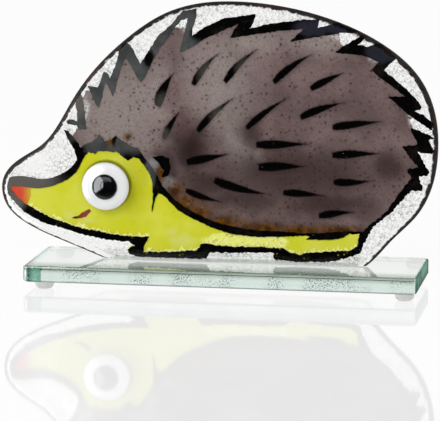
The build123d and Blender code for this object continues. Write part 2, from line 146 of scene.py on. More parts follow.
def face_outline(name, y):
    """The largest loop of (x, z) points round a node's flat face at one depth."""
    mesh = nodes[name].data
    places = [(round(v.co.x, PLACE_DIGITS), round(v.co.z, PLACE_DIGITS)) for v in mesh.vertices]
    sides = set()
    for polygon in mesh.polygons:
        if all(abs(mesh.vertices[index].co.y - y) < TOUCH for index in polygon.vertices):
            corners = [places[index] for index in polygon.vertices]
            sides.update(zip(corners, corners[1:] + corners[:1]))
    following = {a: b for a, b in sorted(sides) if (b, a) not in sides}
    loops = []
    while following:
        start, point = following.popitem()
        loop = [Vector(start)]
        while point != start:
            loop.append(Vector(point))
            point = following.pop(point)
        loops.append(loop)
    return max(loops, key=lambda loop: abs(area(loop)))


def divided(points, step, closed=True):
    """The row of points with more between them, about step apart."""
    row = []
    for start, end in zip(points, points[1:] + points[:1] if closed else points[1:]):
        count = max(1, round((end - start).length / step))
        row += [start.lerp(end, index / count) for index in range(count)]
    return row if closed else row + [points[-1]]


def outward_normal(start, end):
    """The direction out of an anticlockwise loop that runs from start to end."""
    run = end - start
    return Vector((run.y, -run.x)).normalized()


def ragged_outline(name, tooth, grain, lift):
    """A node's outline pushed out by lift and roughened, in teeth about grain long."""
    loop = divided(face_outline(name, colour_front), EDGE_STEP)
    points = []
    for before, point, after in zip(loop[-1:] + loop[:-1], loop, loop[1:] + loop[:1]):
        height = noise.noise(Vector((point.x / grain, point.y / grain, tooth / MM)))
        points.append(point + outward_normal(before, after) * (lift + tooth * height))
    return points


def filled(loop, inner=()):
    """Flat points and triangles inside a loop, and for each point the ones that it was made from."""
    count = len(loop)
    sides = [(index, (index + 1) % count) for index in range(count)]
    points, _, triangles, origins, _, _ = delaunay_2d_cdt([*loop, *inner], sides, [], 1, MERGE_DISTANCE)
    return points, triangles, origins


def linked(name, data):
    """An object in the scene."""
    made = bpy.data.objects.new(name, data)
    scene.collection.objects.link(made)
    return made


def new_object(name, mesh, material, replaced):
    """A piece of the ornament, which rides on its only body."""
    piece = linked(name, mesh)
    if material:
        mesh.materials.append(material)
    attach(piece, "root")
    if replaced:
        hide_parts(*replaced)


def slab(name, loop, span_shares, inner=(), cores=()):
    """A flat mesh between two depths, filling a loop; cores say how deep each inner point lies, 0 to 1."""
    points, triangles, origins = filled(loop, inner)
    count = len(points)
    sides = {(a, b) for t in triangles for a, b in zip(t, [*t[1:], t[0]])}
    walls = [(b, a, a + count, b + count) for a, b in sorted(sides) if (b, a) not in sides]
    backs = [[index + count for index in reversed(t)] for t in triangles]
    places = [(p.x, y, p.y) for y in map(depth, span_shares) for p in points]
    mesh = bpy.data.meshes.new(name)
    mesh.from_pydata(places, [], [*triangles, *backs, *walls])
    if inner:
        values = [0.0] * len(loop) + list(cores)
        layer = mesh.attributes.new("core", "FLOAT", "POINT")
        layer.data.foreach_set("value", [values[min(origin)] for origin in origins] * 2)
    return mesh


def gleam_mesh(name, loop, y):
    """A broken ribbon along the parts of a loop that face up."""
    places, quads = [], []
    for start, end in zip(loop, loop[1:] + loop[:1]):
        if outward_normal(start, end).y > GLEAM_FACING_SHARE:
            first = len(places)
            for point, share in ((start, 0), (end, 0), (end, 1), (start, 1)):
                tooth = noise.noise(Vector((point.x / GLEAM_GRAIN, point.y / GLEAM_GRAIN, GLEAM_SEED)))
                wide = max(GLEAM_LEAST_SHARE, GLEAM_MEAN_SHARE + tooth)
                place = point + Vector((0, share)) * GLEAM_WIDTH * wide
                places.append((place.x, y, place.y))
            quads.append(range(first, first + 4))
    mesh = bpy.data.meshes.new(name)
    mesh.from_pydata(places, [], quads)
    return mesh


def waves(point, rows, seed):
    """Height of a wavy face at a point."""
    return sum(
        height * noise.noise(Vector((point.x / length, point.y / length, seed + index)))
        for index, (length, height) in enumerate(rows)
    )


def grid_inside(loop, spacing):
    """Points of a triangular grid well inside a loop, each with its distance from it."""
    border = np.array(loop)
    low, high = border.min(0), border.max(0)
    rows = np.arange(low[1], high[1], spacing * math.sqrt(3) / 2)
    grid = [
        (x + spacing / 2 * (number % 2), z)
        for number, z in enumerate(rows)
        for x in np.arange(low[0], high[0], spacing)
    ]
    points = np.array(grid)
    inside = np.zeros(len(points), bool)
    for (ax, az), (bx, bz) in zip(border, np.roll(border, -1, axis=0)):
        if az != bz:
            crossing = ax + (points[:, 1] - az) / (bz - az) * (bx - ax)
            inside ^= ((az > points[:, 1]) != (bz > points[:, 1])) & (points[:, 0] < crossing)
    points = points[inside]
    closed = np.array(divided(loop, spacing))
    distances = np.array([np.hypot(*(closed - point).T).min() for point in points])
    kept = distances > spacing * GRID_CLEAR_SHARE
    return [Vector(point) for point in points[kept]], distances[kept]


# Nodes that the materials are made of

GLASS_IOR = 1.5
FLOAT_GLASS_IOR = 1.52
CLOUD_SPAN = (0.3, 0.7)
CELL_RANDOMNESS = 0.9
DOT_CORE_SHARE = 0.2
DOT_LEAST_SHARE = 0.6


def srgb(red, green, blue):
    """A colour of 8-bit sRGB values as the linear RGBA that nodes take."""
    def linear(value):
        share = value / 255
        return share / 12.92 if share <= 0.04045 else ((share + 0.055) / 1.055) ** 2.4
    return (linear(red), linear(green), linear(blue), 1)


def new_material(name, fill, **choices):
    """A material whose node tree is filled by a function."""
    material = bpy.data.materials.new(name)
    material.use_nodes = True
    material.node_tree.nodes.clear()
    fill(material.node_tree, **choices)
    return material


def add(tree, kind, inputs=None, **settings):
    """A node with its settings and inputs; an input is a value or another node's output."""
    made = tree.nodes.new(kind)
    for name, value in settings.items():
        setattr(made, name, value)
    for name, value in (inputs or {}).items():
        if isinstance(value, bpy.types.NodeSocket):
            tree.links.new(value, made.inputs[name])
        else:
            made.inputs[name].default_value = value
    return made


def math_node(tree, operation, *values):
    return add(tree, "ShaderNodeMath", dict(enumerate(values)), operation=operation).outputs[0]


def product(tree, *factors):
    """Masks and numbers multiplied together."""
    total = factors[0]
    for factor in factors[1:]:
        total = math_node(tree, "MULTIPLY", total, factor)
    return total


def vector_node(tree, operation, *values, **named_values):
    """The vector that an operation gives, or the number where it measures a length."""
    inputs = {**dict(enumerate(values)), **named_values}
    made = add(tree, "ShaderNodeVectorMath", inputs, operation=operation)
    return made.outputs["Value" if operation == "LENGTH" else "Vector"]


def blended(tree, factor, first, second):
    """A mix of two colours."""
    mix = add(tree, "ShaderNodeMix", {0: factor, 6: first, 7: second}, data_type="RGBA")
    return mix.outputs[2]


def clouded(tree, clouds, first, second):
    """Two colours that drift into each other with soft noise."""
    return blended(tree, ramp(tree, clouds, *CLOUD_SPAN), first, second)


def tinted(tree, colour, tint, mask, strength):
    """The colour, taken towards a tint inside a mask."""
    return blended(tree, product(tree, mask, strength), colour, tint)


def ramp(tree, value, low, high):
    """A soft step from 0 at low to 1 at high; low may be the larger."""
    inputs = {"Value": value, "From Min": low, "From Max": high}
    return add(tree, "ShaderNodeMapRange", inputs, interpolation_type="SMOOTHSTEP").outputs[0]


def place_in_mm(tree):
    """Place on the ornament in millimetres."""
    place = add(tree, "ShaderNodeTexCoord").outputs["Object"]
    return vector_node(tree, "SCALE", place, Scale=1 / MM)


def axes(tree, place):
    """The three numbers of a place."""
    return add(tree, "ShaderNodeSeparateXYZ", {0: place}).outputs


def noise_node(tree, place, length, detail=2.0, seed=0.0):
    moved = vector_node(tree, "ADD", place, (seed, seed, seed))
    return add(tree, "ShaderNodeTexNoise", {"Vector": moved, "Scale": 1 / length, "Detail": detail})


def cloud(tree, place, length, detail=2.0, seed=0.0):
    """Smooth noise with features about length millimetres long."""
    return noise_node(tree, place, length, detail, seed).outputs[0]


def mottled(tree, place, length, span, detail=2.0, seed=0.0):
    """A mask of soft patches about length millimetres long: noise that is cut off outside a span."""
    return ramp(tree, cloud(tree, place, length, detail, seed), *span)


def warped(tree, place, length, reach):
    """The place, shaken by up to reach by noise about length long, so that edges from it wander."""
    shake = noise_node(tree, place, length).outputs["Color"]
    centred = vector_node(tree, "SUBTRACT", shake, (0.5, 0.5, 0.5))
    return vector_node(tree, "ADD", place, vector_node(tree, "SCALE", centred, Scale=2 * reach))


def spots(tree, place, shares, softness):
    """A mask of soft ellipses: each share row is a centre and two radii, across and up."""
    total = None
    width, height = (panel_high.x - panel_low.x) / MM, (panel_high.z - panel_low.z) / MM
    for across, up, radius_across, radius_up in shares:
        centre = at(across, up) / MM
        offset = vector_node(tree, "SUBTRACT", place, (centre.x, 0, centre.y))
        sizes = (1 / (radius_across * width), 0, 1 / (radius_up * height))
        length = vector_node(tree, "LENGTH", vector_node(tree, "MULTIPLY", offset, sizes))
        mask = ramp(tree, length, 1 + softness, 1 - softness)
        total = mask if total is None else math_node(tree, "MAXIMUM", total, mask)
    return total


def curls(tree, place, length, thickness, seed):
    """A mask of thin curly lines, which are contour lines of noise."""
    height = cloud(tree, place, length, detail=1.0, seed=seed)
    apart = math_node(tree, "ABSOLUTE", math_node(tree, "SUBTRACT", height, 0.5))
    return ramp(tree, apart, thickness, thickness / 3)


def dots(tree, place, cell, radius, share, seed):
    """A mask of round dots, one in some of the cells of a loose grid."""
    moved = vector_node(tree, "ADD", place, (seed, 0, seed))
    flat = vector_node(tree, "MULTIPLY", moved, (1, 0, 1))
    inputs = {"Vector": flat, "Scale": 1 / cell, "Randomness": CELL_RANDOMNESS}
    cells = add(tree, "ShaderNodeTexVoronoi", inputs).outputs
    chosen = add(tree, "ShaderNodeSeparateColor", {0: cells["Color"]}).outputs
    inside = ramp(tree, cells["Distance"], radius / cell, DOT_CORE_SHARE * radius / cell)
    there = math_node(tree, "LESS_THAN", chosen[0], share)
    size = math_node(tree, "MULTIPLY_ADD", chosen[1], 1 - DOT_LEAST_SHARE, DOT_LEAST_SHARE)
    return product(tree, inside, there, size)


def bumped(tree, height, distance_mm):
    return add(tree, "ShaderNodeBump", {"Height": height, "Distance": distance_mm * MM}).outputs[0]


def mixed(tree, factor, first, second):
    """A mix of two shaders."""
    return add(tree, "ShaderNodeMixShader", {0: factor, 1: first.outputs[0], 2: second.outputs[0]})


def shown(tree, shader):
    return add(tree, "ShaderNodeOutputMaterial", {"Surface": shader.outputs[0]})


def opaque_shader(tree, colour, roughness, specular):
    return add(tree, "ShaderNodeBsdfPrincipled", {
        "Base Color": colour, "Roughness": roughness, "Specular IOR Level": specular,
    })


def inlay_output(tree, colour):
    """Coloured glass inside clear glass: it has no gloss of its own."""
    shown(tree, opaque_shader(tree, colour, roughness=0.6, specular=0.0))


def glass_shader(tree, colour, roughness, ior, bump):
    return add(tree, "ShaderNodeBsdfPrincipled", {
        "Base Color": colour, "Roughness": roughness, "IOR": ior, "Transmission Weight": 1.0, "Normal": bump,
    })


def glass_output(tree, shader, volume=None):
    """Glass that lets light through, straight, to what lies in it or behind it."""
    path = add(tree, "ShaderNodeLightPath").outputs
    clear = add(tree, "ShaderNodeBsdfTransparent")
    lit = mixed(tree, path["Is Shadow Ray"], shader, clear)
    output = shown(tree, mixed(tree, path["Is Diffuse Ray"], lit, clear))
    if volume:
        tree.links.new(volume.outputs[0], output.inputs["Volume"])


# Materials: lengths in millimetres, places as shares of the panel


def front_glass(tree):
    grain = cloud(tree, place_in_mm(tree), 2.2)
    shader = glass_shader(tree, srgb(252, 252, 252), 0.0, GLASS_IOR, bumped(tree, grain, 0.02))
    glass_output(tree, shader)


SMOOTH_SHARES = (
    (0.1, 0.125, 0.08, 0.06), (0.2, 0.07, 0.09, 0.05), (0.065, 0.365, 0.045, 0.05),
)


def back_glass(tree):
    """The face that lay on the kiln shelf: pitted, with grey specks and a few smooth stretches."""
    place = place_in_mm(tree)
    lines = curls(tree, warped(tree, place, 3, 1), length=2.3, thickness=0.05, seed=7.0)
    patch = mottled(tree, place, 10, (0.38, 0.58), seed=3.0)
    pitting = cloud(tree, place, 1.3, seed=12.0)
    rough = math_node(tree, "MULTIPLY_ADD", spots(tree, place, SMOOTH_SHARES, 0.5), -0.75, 1.0)
    misty = product(tree, ramp(tree, pitting, 0.38, 0.68), rough)
    haze = blended(tree, misty, srgb(253, 253, 251), srgb(206, 206, 202))
    drawn = product(tree, lines, math_node(tree, "MULTIPLY_ADD", patch, 0.55, 0.15), rough)
    colour = blended(tree, drawn, haze, srgb(52, 52, 48))
    shader = glass_shader(tree, colour, 0.05, GLASS_IOR, bumped(tree, pitting, 0.12))
    glass_output(tree, shader)


def rim_glass(tree):
    """The round rim, with a painted dark line that stands in for the dark that its glass refracts."""
    place = place_in_mm(tree)
    rim_mottle = cloud(tree, place, 9, detail=3.0, seed=11.0)
    dark = blended(tree, ramp(tree, rim_mottle, 0.35, 0.6), srgb(40, 24, 17), srgb(9, 8, 8))
    inset = add(tree, "ShaderNodeAttribute", attribute_name="rim_inset").outputs["Fac"]
    line_noise = cloud(tree, place, 2.5, detail=3.0, seed=2.0)
    ragged_inset = math_node(tree, "ADD", inset, math_node(tree, "MULTIPLY_ADD", line_noise, 1.6, -0.8))
    clear = glass_shader(tree, srgb(244, 244, 242), 0.05, GLASS_IOR, bumped(tree, rim_mottle, 0.1))
    # Painted shade: a dark line where the rim's glass would refract the dark surroundings
    painted_dark_rim = opaque_shader(tree, dark, roughness=0.5, specular=0.05)
    cover = product(tree, ramp(tree, ragged_inset, 1.3, 0.8), 0.98)
    glass_output(tree, mixed(tree, cover, clear, painted_dark_rim))


AMBER_SHARES = (
    (0.4, 0.262, 0.02, 0.036), (0.424, 0.22, 0.03, 0.038), (0.454, 0.184, 0.036, 0.032),
    (0.51, 0.149, 0.05, 0.028), (0.6, 0.13, 0.065, 0.024), (0.69, 0.126, 0.065, 0.023),
    (0.78, 0.132, 0.06, 0.021), (0.372, 0.335, 0.01, 0.034), (0.296, 0.474, 0.009, 0.015),
)
BUBBLED_SHARES = ((0.351, 0.366, 0.012, 0.024), (0.387, 0.29, 0.012, 0.026))
# Pale patches of the mauve glass; some of them are a painted highlight of the front's gloss
PALE_AND_HIGHLIGHT_SHARES = (
    (0.27, 0.57, 0.09, 0.2), (0.34, 0.65, 0.06, 0.14), (0.5, 0.7, 0.075, 0.19),
    (0.55, 0.48, 0.03, 0.12), (0.74, 0.86, 0.09, 0.05), (0.575, 0.85, 0.06, 0.05),
    (0.592, 0.414, 0.014, 0.03),
)
DUSK_SHARES = (
    (0.445, 0.44, 0.05, 0.09), (0.385, 0.37, 0.03, 0.07), (0.48, 0.3, 0.06, 0.06),
    (0.68, 0.34, 0.19, 0.1), (0.888, 0.385, 0.04, 0.06), (0.575, 0.5, 0.03, 0.06),
    (0.755, 0.235, 0.1, 0.05), (0.56, 0.245, 0.08, 0.04),
)
DEEP_SHARES = ((0.438, 0.428, 0.034, 0.06),)
WINE_SHARES = (
    (0.4, 0.64, 0.018, 0.05), (0.425, 0.53, 0.018, 0.06), (0.33, 0.76, 0.02, 0.06),
)
TIP_SHARES = (
    (0.424, 0.915, 0.012, 0.03), (0.795, 0.872, 0.04, 0.014), (0.944, 0.572, 0.012, 0.03),
    (0.194, 0.57, 0.01, 0.05), (0.862, 0.795, 0.014, 0.014),
)


def spine_colour(tree):
    """Mauve-grey glass powder with clouds, dark bubbles, amber stains and foamy tips; some pale patches are
    a painted highlight of the front's gloss, and the bubbles have painted highlights in their middles.
    """
    place = place_in_mm(tree)
    wander = warped(tree, place, 9, 4)
    clouds = cloud(tree, place, 20, detail=3.0, seed=2.0)
    colour = clouded(tree, clouds, srgb(104, 87, 85), srgb(132, 113, 111))
    for shares, strength, tint in (
        (PALE_AND_HIGHLIGHT_SHARES, 0.75, srgb(164, 152, 147)),
        (DUSK_SHARES, 0.85, srgb(62, 48, 45)),
        (DEEP_SHARES, 0.6, srgb(26, 18, 18)),
        (WINE_SHARES, 0.45, srgb(98, 70, 68)),
        (BUBBLED_SHARES, 0.7, srgb(158, 160, 162)),
    ):
        colour = tinted(tree, colour, tint, spots(tree, wander, shares, 0.8), strength)
    grain = mottled(tree, place, 0.9, (0.4, 0.8), seed=14.0)
    colour = tinted(tree, colour, srgb(60, 46, 46), grain, 0.35)
    stained = spots(tree, warped(tree, place, 5, 1.5), AMBER_SHARES, 0.9)
    uneven = mottled(tree, place, 2.2, (0.1, 0.4), detail=3.0, seed=21.0)
    depths = mottled(tree, place, 3, (0.35, 0.6), seed=23.0)
    amber = blended(tree, depths, srgb(108, 68, 10), srgb(64, 40, 10))
    colour = tinted(tree, colour, amber, stained, uneven)
    large = dots(tree, place, cell=5.6, radius=1.4, share=0.45, seed=40.0)
    small = dots(tree, place, cell=2.4, radius=1.0, share=0.6, seed=3.0)
    colour = blended(tree, math_node(tree, "MAXIMUM", large, small), colour, srgb(64, 42, 42))
    # Painted highlights in the middles of the large bubbles
    painted_bubble_highlight = dots(tree, place, cell=5.6, radius=0.6, share=0.2, seed=40.0)
    colour = tinted(tree, colour, srgb(140, 124, 120), painted_bubble_highlight, 0.8)
    foam = mottled(tree, place, 1.2, (0.36, 0.56), seed=30.0)
    tips = product(tree, spots(tree, wander, TIP_SHARES, 0.6), foam)
    return tinted(tree, colour, srgb(228, 225, 221), tips, 0.8)


def spine_glass(tree):
    inlay_output(tree, spine_colour(tree))


GREY_QUILL_SHARES = (
    (0.374, 0.6, 0.016, 0.04), (0.378, 0.478, 0.016, 0.035), (0.474, 0.715, 0.016, 0.055),
    (0.505, 0.56, 0.018, 0.04), (0.562, 0.735, 0.018, 0.05), (0.535, 0.44, 0.022, 0.02),
)


def quill_glass(tree):
    """Black glass that fades into the mauve round it."""
    place = place_in_mm(tree)
    grey = spots(tree, warped(tree, place, 4, 1.5), GREY_QUILL_SHARES, 0.6)
    tone = tinted(tree, srgb(7, 6, 6), srgb(72, 70, 64), grey, 0.8)
    core = add(tree, "ShaderNodeAttribute", attribute_name="core").outputs["Fac"]
    uneven = cloud(tree, place, 1.3, seed=4.0)
    cover = ramp(tree, math_node(tree, "MULTIPLY_ADD", uneven, 0.3, core), 0.12, 1.0)
    inlay_output(tree, blended(tree, cover, spine_colour(tree), tone))


STRIP_SHARES = (
    (0.52, 0.08, 0.055, 0.026), (0.58, 0.08, 0.065, 0.026), (0.63, 0.078, 0.03, 0.03),
)
GLOW_SHARES = (
    (0.16, 0.158, 0.014, 0.016), (0.2, 0.14, 0.02, 0.01), (0.42, 0.075, 0.03, 0.02),
    (0.395, 0.11, 0.012, 0.014),
)
EYE_RING_SHARES = ((0.2455, 0.284, 0.0575, 0.0975),)
# Olive near the brow and the neck stroke: painted shade
OLIVE_SHADE_SHARES = (
    (0.31, 0.29, 0.03, 0.11), (0.33, 0.32, 0.014, 0.06), (0.26, 0.428, 0.06, 0.02),
)


def face_glass(tree):
    """Lime yellow glass, thinner and brighter along the belly, with painted shade round the eye and in olive
    by the brow and the neck stroke.
    """
    place = place_in_mm(tree)
    wander = warped(tree, place, 5, 2)
    clouds = cloud(tree, place, 16, detail=3.0, seed=5.0)
    colour = clouded(tree, clouds, srgb(221, 223, 46), srgb(231, 233, 84))
    colour = tinted(tree, colour, srgb(172, 172, 16), spots(tree, wander, OLIVE_SHADE_SHARES, 0.8), 0.4)
    colour = tinted(tree, colour, srgb(116, 116, 14), spots(tree, place, EYE_RING_SHARES, 0.05), 0.75)
    colour = tinted(tree, colour, srgb(228, 230, 140), spots(tree, wander, GLOW_SHARES, 0.7), 0.5)
    paler = mottled(tree, place, 1.8, (0.4, 0.62), seed=9.0)
    bright = blended(tree, paler, srgb(250, 254, 114), srgb(255, 255, 168))
    marks = curls(tree, warped(tree, place, 3, 1), length=6.0, thickness=0.01, seed=5.0)
    bright = tinted(tree, bright, srgb(126, 124, 20), marks, 0.7)
    colour = blended(tree, spots(tree, wander, STRIP_SHARES, 0.2), colour, bright)
    pits = dots(tree, place, cell=3.2, radius=0.4, share=0.25, seed=17.0)
    inlay_output(tree, tinted(tree, colour, srgb(132, 130, 12), pits, 0.6))


def gleam_glass(tree):
    """Thin pale yellow along the top of the black line: a painted highlight where it faces up."""
    broken = mottled(tree, place_in_mm(tree), 1.5, (0.3, 0.5), seed=6.0)
    inlay_output(tree, blended(tree, broken, srgb(206, 208, 44), srgb(253, 253, 160)))


def red_glass(tree, span_shares, left, right, grain_colour):
    """Red glass that changes from a left to a right colour over a span of the panel's width."""
    place = place_in_mm(tree)
    across = axes(tree, warped(tree, place, 4, 1.2))[0]
    start, end = (at(share, 0).x / MM for share in span_shares)
    colour = blended(tree, ramp(tree, across, start, end), left, right)
    grain = mottled(tree, place, 1.4, (0.55, 0.7), seed=6.0)
    inlay_output(tree, tinted(tree, colour, grain_colour, grain, 0.3))


# Grey patches on the black lines: a painted reflection of the front's gloss; on the snout a lighter grey of
# the same painted reflection
REFLECTION_GREY_SHARES = (
    (0.3, 0.72, 0.148, 0.26), (0.04, 0.29, 0.075, 0.06), (0.03, 0.215, 0.022, 0.045),
    (0.25, 0.45, 0.09, 0.05), (0.345, 0.33, 0.014, 0.06), (0.428, 0.89, 0.035, 0.1),
    (0.19, 0.58, 0.045, 0.11),
)
SNOUT_REFLECTION_SHARES = (
    (0.05, 0.29, 0.075, 0.05), (0.03, 0.215, 0.022, 0.045), (0.18, 0.62, 0.022, 0.08),
)
BLUE_SHARES = (
    (0.715, 0.905, 0.04, 0.03), (0.785, 0.905, 0.045, 0.02), (0.872, 0.818, 0.036, 0.04),
)
SOLID_SHARES = (
    (0.345, 0.775, 0.012, 0.035), (0.175, 0.415, 0.02, 0.045), (0.262, 0.466, 0.006, 0.03),
    (0.46, 0.88, 0.02, 0.03), (0.155, 0.33, 0.04, 0.03),
)
BROW_AMBER_SHARES = ((0.252, 0.465, 0.006, 0.03), (0.296, 0.462, 0.01, 0.016))


def black_glass(tree, fleck, fleck_share):
    """Black glass with flecks of what lies behind; its grey patches are a painted reflection of the front's
    gloss, and some patches are bluish.
    """
    place = place_in_mm(tree)
    wander = warped(tree, place, 4, 1.5)
    clouds = cloud(tree, place, 6, detail=3.0, seed=4.0)
    colour = blended(tree, ramp(tree, clouds, 0.5, 0.75), srgb(7, 7, 8), srgb(26, 22, 18))
    # Painted reflection: the grey shows where the black isn't listed as solid
    paler = ramp(tree, spots(tree, wander, SOLID_SHARES, 0.6), 1, 0)
    reflection_grey = clouded(tree, clouds, srgb(62, 65, 65), srgb(84, 87, 86))
    colour = tinted(tree, colour, reflection_grey, spots(tree, wander, REFLECTION_GREY_SHARES, 0.3), paler)
    colour = blended(tree, spots(tree, wander, SNOUT_REFLECTION_SHARES, 0.6), colour, srgb(102, 99, 95))
    colour = blended(tree, spots(tree, wander, BLUE_SHARES, 0.3), colour, srgb(42, 42, 52))
    shaken = warped(tree, place, 1.2, 0.5)
    flecks = dots(tree, shaken, cell=1.5, radius=0.5, share=fleck_share, seed=8.0)
    colour = blended(tree, flecks, colour, fleck)
    amber = spots(tree, warped(tree, place, 2, 1.0), BROW_AMBER_SHARES, 0.95)
    inlay_output(tree, tinted(tree, colour, srgb(104, 70, 16), amber, 0.9))


def white_glass(tree):
    milk = cloud(tree, place_in_mm(tree), 7, detail=3.0, seed=1.0)
    colour = clouded(tree, milk, srgb(252, 253, 254), srgb(246, 248, 251))
    shown(tree, add(tree, "ShaderNodeBsdfPrincipled", {
        "Base Color": colour, "Roughness": 0.14, "IOR": GLASS_IOR, "Subsurface Weight": 0.15,
        "Subsurface Scale": 0.5 * MM, "Normal": bumped(tree, milk, 0.03),
    }))


def pupil_glass(tree):
    ripple = cloud(tree, place_in_mm(tree), 5, seed=1.0)
    colour = clouded(tree, ripple, srgb(8, 8, 10), srgb(16, 16, 20))
    shown(tree, add(tree, "ShaderNodeBsdfPrincipled", {
        "Base Color": colour, "Roughness": 0.04, "IOR": GLASS_IOR, "Normal": bumped(tree, ripple, 0.03),
    }))


# Where the base's looks change: millimetres from a face, below 0 from the rear, the top and the ends
REAR_PITS_MM = (-2.0, -0.8)
TOP_SKIN_MM = (-0.3, -0.1)
TOP_BAND_MM = (15, 4)
FRONT_SKIN_MM = (1.2, 0.7)
FRONT_SHADE_MM = (-3.9, -1.2)
FOOT_LINE_MM = (0.9, 0.5)
END_SKIN_MM = (-0.9, -0.5)
END_BRIGHT_MM = 16
END_DARK_MM = (2.5, 1.5)
BASE_HALVES_MM = 1
BASE_ABSORPTION = {"Color": (0.38, 0.62, 0.52, 1), "Density": 8.5}


def near(tree, value, face, steps):
    """A soft step from 0 to 1 between two distances from a face."""
    return ramp(tree, value, *(face + step for step in steps))


def base_colour(tree, place, low, high):
    """Clear glass with pits in the ground rear edge, a green band on the top's front that is a painted
    reflection, and painted shade at the front edges.
    """
    _, inward, up = axes(tree, place)
    rear = near(tree, inward, high.y, REAR_PITS_MM)
    pits = mottled(tree, place, 0.7, (0.5, 0.6), seed=5.0)
    patch = mottled(tree, place, 16, (0.4, 0.6), detail=1.0, seed=8.0)
    colour = blended(tree, product(tree, rear, pits, patch), srgb(251, 253, 252), srgb(78, 96, 90))
    top = near(tree, up, high.z, TOP_SKIN_MM)
    colour = blended(tree, top, colour, srgb(235, 236, 232))
    # Painted reflection: a green band over the front of the top
    painted_reflection_band = near(tree, inward, low.y, TOP_BAND_MM)
    colour = tinted(tree, colour, srgb(118, 135, 116), top, painted_reflection_band)
    front = near(tree, inward, low.y, FRONT_SKIN_MM)
    shade = near(tree, up, high.z, FRONT_SHADE_MM)
    colour = tinted(tree, colour, srgb(160, 168, 157), front, shade)
    line = near(tree, up, low.z, FOOT_LINE_MM)
    return tinted(tree, colour, srgb(92, 100, 94), front, line)


def base_end_colour(tree, place, low, high):
    """Green that the ends gather from the base's whole length, with a painted highlight at the far side of
    the left one and painted shade towards the bottom.
    """
    across, inward, up = axes(tree, place)
    middle = (low.x + high.x) / 2
    streaks = cloud(tree, warped(tree, place, 7, 3), 9, detail=3.0, seed=2.0)
    green = blended(tree, ramp(tree, streaks, 0.38, 0.62), srgb(38, 86, 70), srgb(98, 168, 142))
    right = ramp(tree, across, middle - BASE_HALVES_MM, middle + BASE_HALVES_MM)
    # Painted highlight at the far side of the left end
    end_highlight = ramp(tree, inward, low.y + END_BRIGHT_MM, high.y - END_BRIGHT_MM)
    end_highlight = product(tree, end_highlight, ramp(tree, right, 1, 0))
    # Painted shade towards the bottom of the ends
    end_shade = ramp(tree, up, high.z - END_DARK_MM[0], low.z + END_DARK_MM[1])
    end_shade = product(tree, end_shade, ramp(tree, end_highlight, 1, 0))
    green = tinted(tree, green, srgb(22, 52, 43), end_shade, 0.7)
    return tinted(tree, green, srgb(190, 255, 238), end_highlight, 0.85)


def base_glass(tree):
    """Float glass: clear but for its two ends, which look green."""
    place = place_in_mm(tree)
    low, high = (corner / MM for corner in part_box("base_plate"))
    ripple = cloud(tree, place, 30)
    colour = base_colour(tree, place, low, high)
    clear = glass_shader(tree, colour, 0.0, FLOAT_GLASS_IOR, bumped(tree, ripple, 0.02))
    end_colour = base_end_colour(tree, place, low, high)
    ground = opaque_shader(tree, end_colour, roughness=0.5, specular=0.1)
    across = axes(tree, place)[0]
    from_middle = math_node(tree, "SUBTRACT", across, (low.x + high.x) / 2)
    end = near(tree, math_node(tree, "ABSOLUTE", from_middle), (high.x - low.x) / 2, END_SKIN_MM)
    volume = add(tree, "ShaderNodeVolumeAbsorption", BASE_ABSORPTION)
    glass_output(tree, mixed(tree, end, clear, ground), volume)


def adhesive(tree):
    """A clear film in full contact with glass on both sides, so that only its own skin shows."""
    uneven = cloud(tree, place_in_mm(tree), 3, seed=3.0)
    colour = clouded(tree, uneven, srgb(225, 230, 228), srgb(205, 212, 209))
    skin = add(tree, "ShaderNodeBsdfPrincipled", {
        "Base Color": colour, "Roughness": 0.15, "Normal": bumped(tree, uneven, 0.1),
    })
    shown(tree, mixed(tree, 0.3, add(tree, "ShaderNodeBsdfTransparent"), skin))


def bumper_plastic(tree, milkiness):
    """Clear soft plastic, milky at its skin."""
    uneven = cloud(tree, place_in_mm(tree), 2.5, seed=3.0)
    colour = clouded(tree, uneven, srgb(226, 228, 226), srgb(210, 213, 211))
    skin = add(tree, "ShaderNodeBsdfPrincipled", {
        "Base Color": colour, "Roughness": 0.2, "IOR": 1.45, "Normal": bumped(tree, uneven, 0.05),
    })
    shown(tree, mixed(tree, milkiness, add(tree, "ShaderNodeBsdfTransparent"), skin))


# Panel: both sheets as one wavy piece of glass with a round rim

FRONT_MATERIAL, BACK_MATERIAL, RIM_MATERIAL = range(3)


def panel_rim():
    """The outline from the right end of the standing edge round to its left end, with outward normals."""
    outline = face_outline("front_sheet", seam_y)
    if area(outline) < 0:
        outline.reverse()
    standing = [point for point in outline if point.y < panel_bottom + TOUCH]
    first = outline.index(max(standing, key=lambda point: point.x))
    turned = outline[first:] + outline[:first]
    last = turned.index(min(standing, key=lambda point: point.x))
    rim = divided(turned[:last + 1], RIM_POINT_SPACING, closed=False)
    neighbours = zip(rim[:1] + rim[:-1], rim[1:] + rim[-1:])
    return rim, [outward_normal(before, after) for before, after in neighbours]


def rim_line(normal, y):
    """Width in metres of the painted dark line where the rim faces along a normal."""
    side = abs(normal.x) * (1 + RIM_LINE_LOW_SHARE * min(0, normal.y))
    side *= RIM_LINE_LEFT_MM if normal.x < 0 else RIM_LINE_RIGHT_MM
    line = RIM_LINE_MM + RIM_LINE_TOP_MM * max(0, normal.y) + side
    return line * MM * (RIM_LINE_BACK_SHARE if y > seam_y else 1)


def add_wavy_face(shape, border, vertices, y, rows, seed, slot):
    """A face with waves that fade towards its border, whose vertices the rim has already."""
    inner, distances = grid_inside(border, FACE_POINT_SPACING)
    fades = {len(border) + index: min(1, d / WAVE_FADE) for index, d in enumerate(distances)}
    points, triangles, origins = filled(border, inner)
    made = []
    for point, origin in zip(points, origins):
        source = min(origin)
        if source < len(border):
            made.append(vertices[source])
        else:
            lift = waves(point, rows, seed) * fades[source]
            made.append(shape.verts.new((point.x, y + lift, point.y)))
    for triangle in triangles:
        corners = [made[index] for index in triangle]
        if slot == BACK_MATERIAL:
            corners.reverse()
        shape.faces.new(corners).material_index = slot


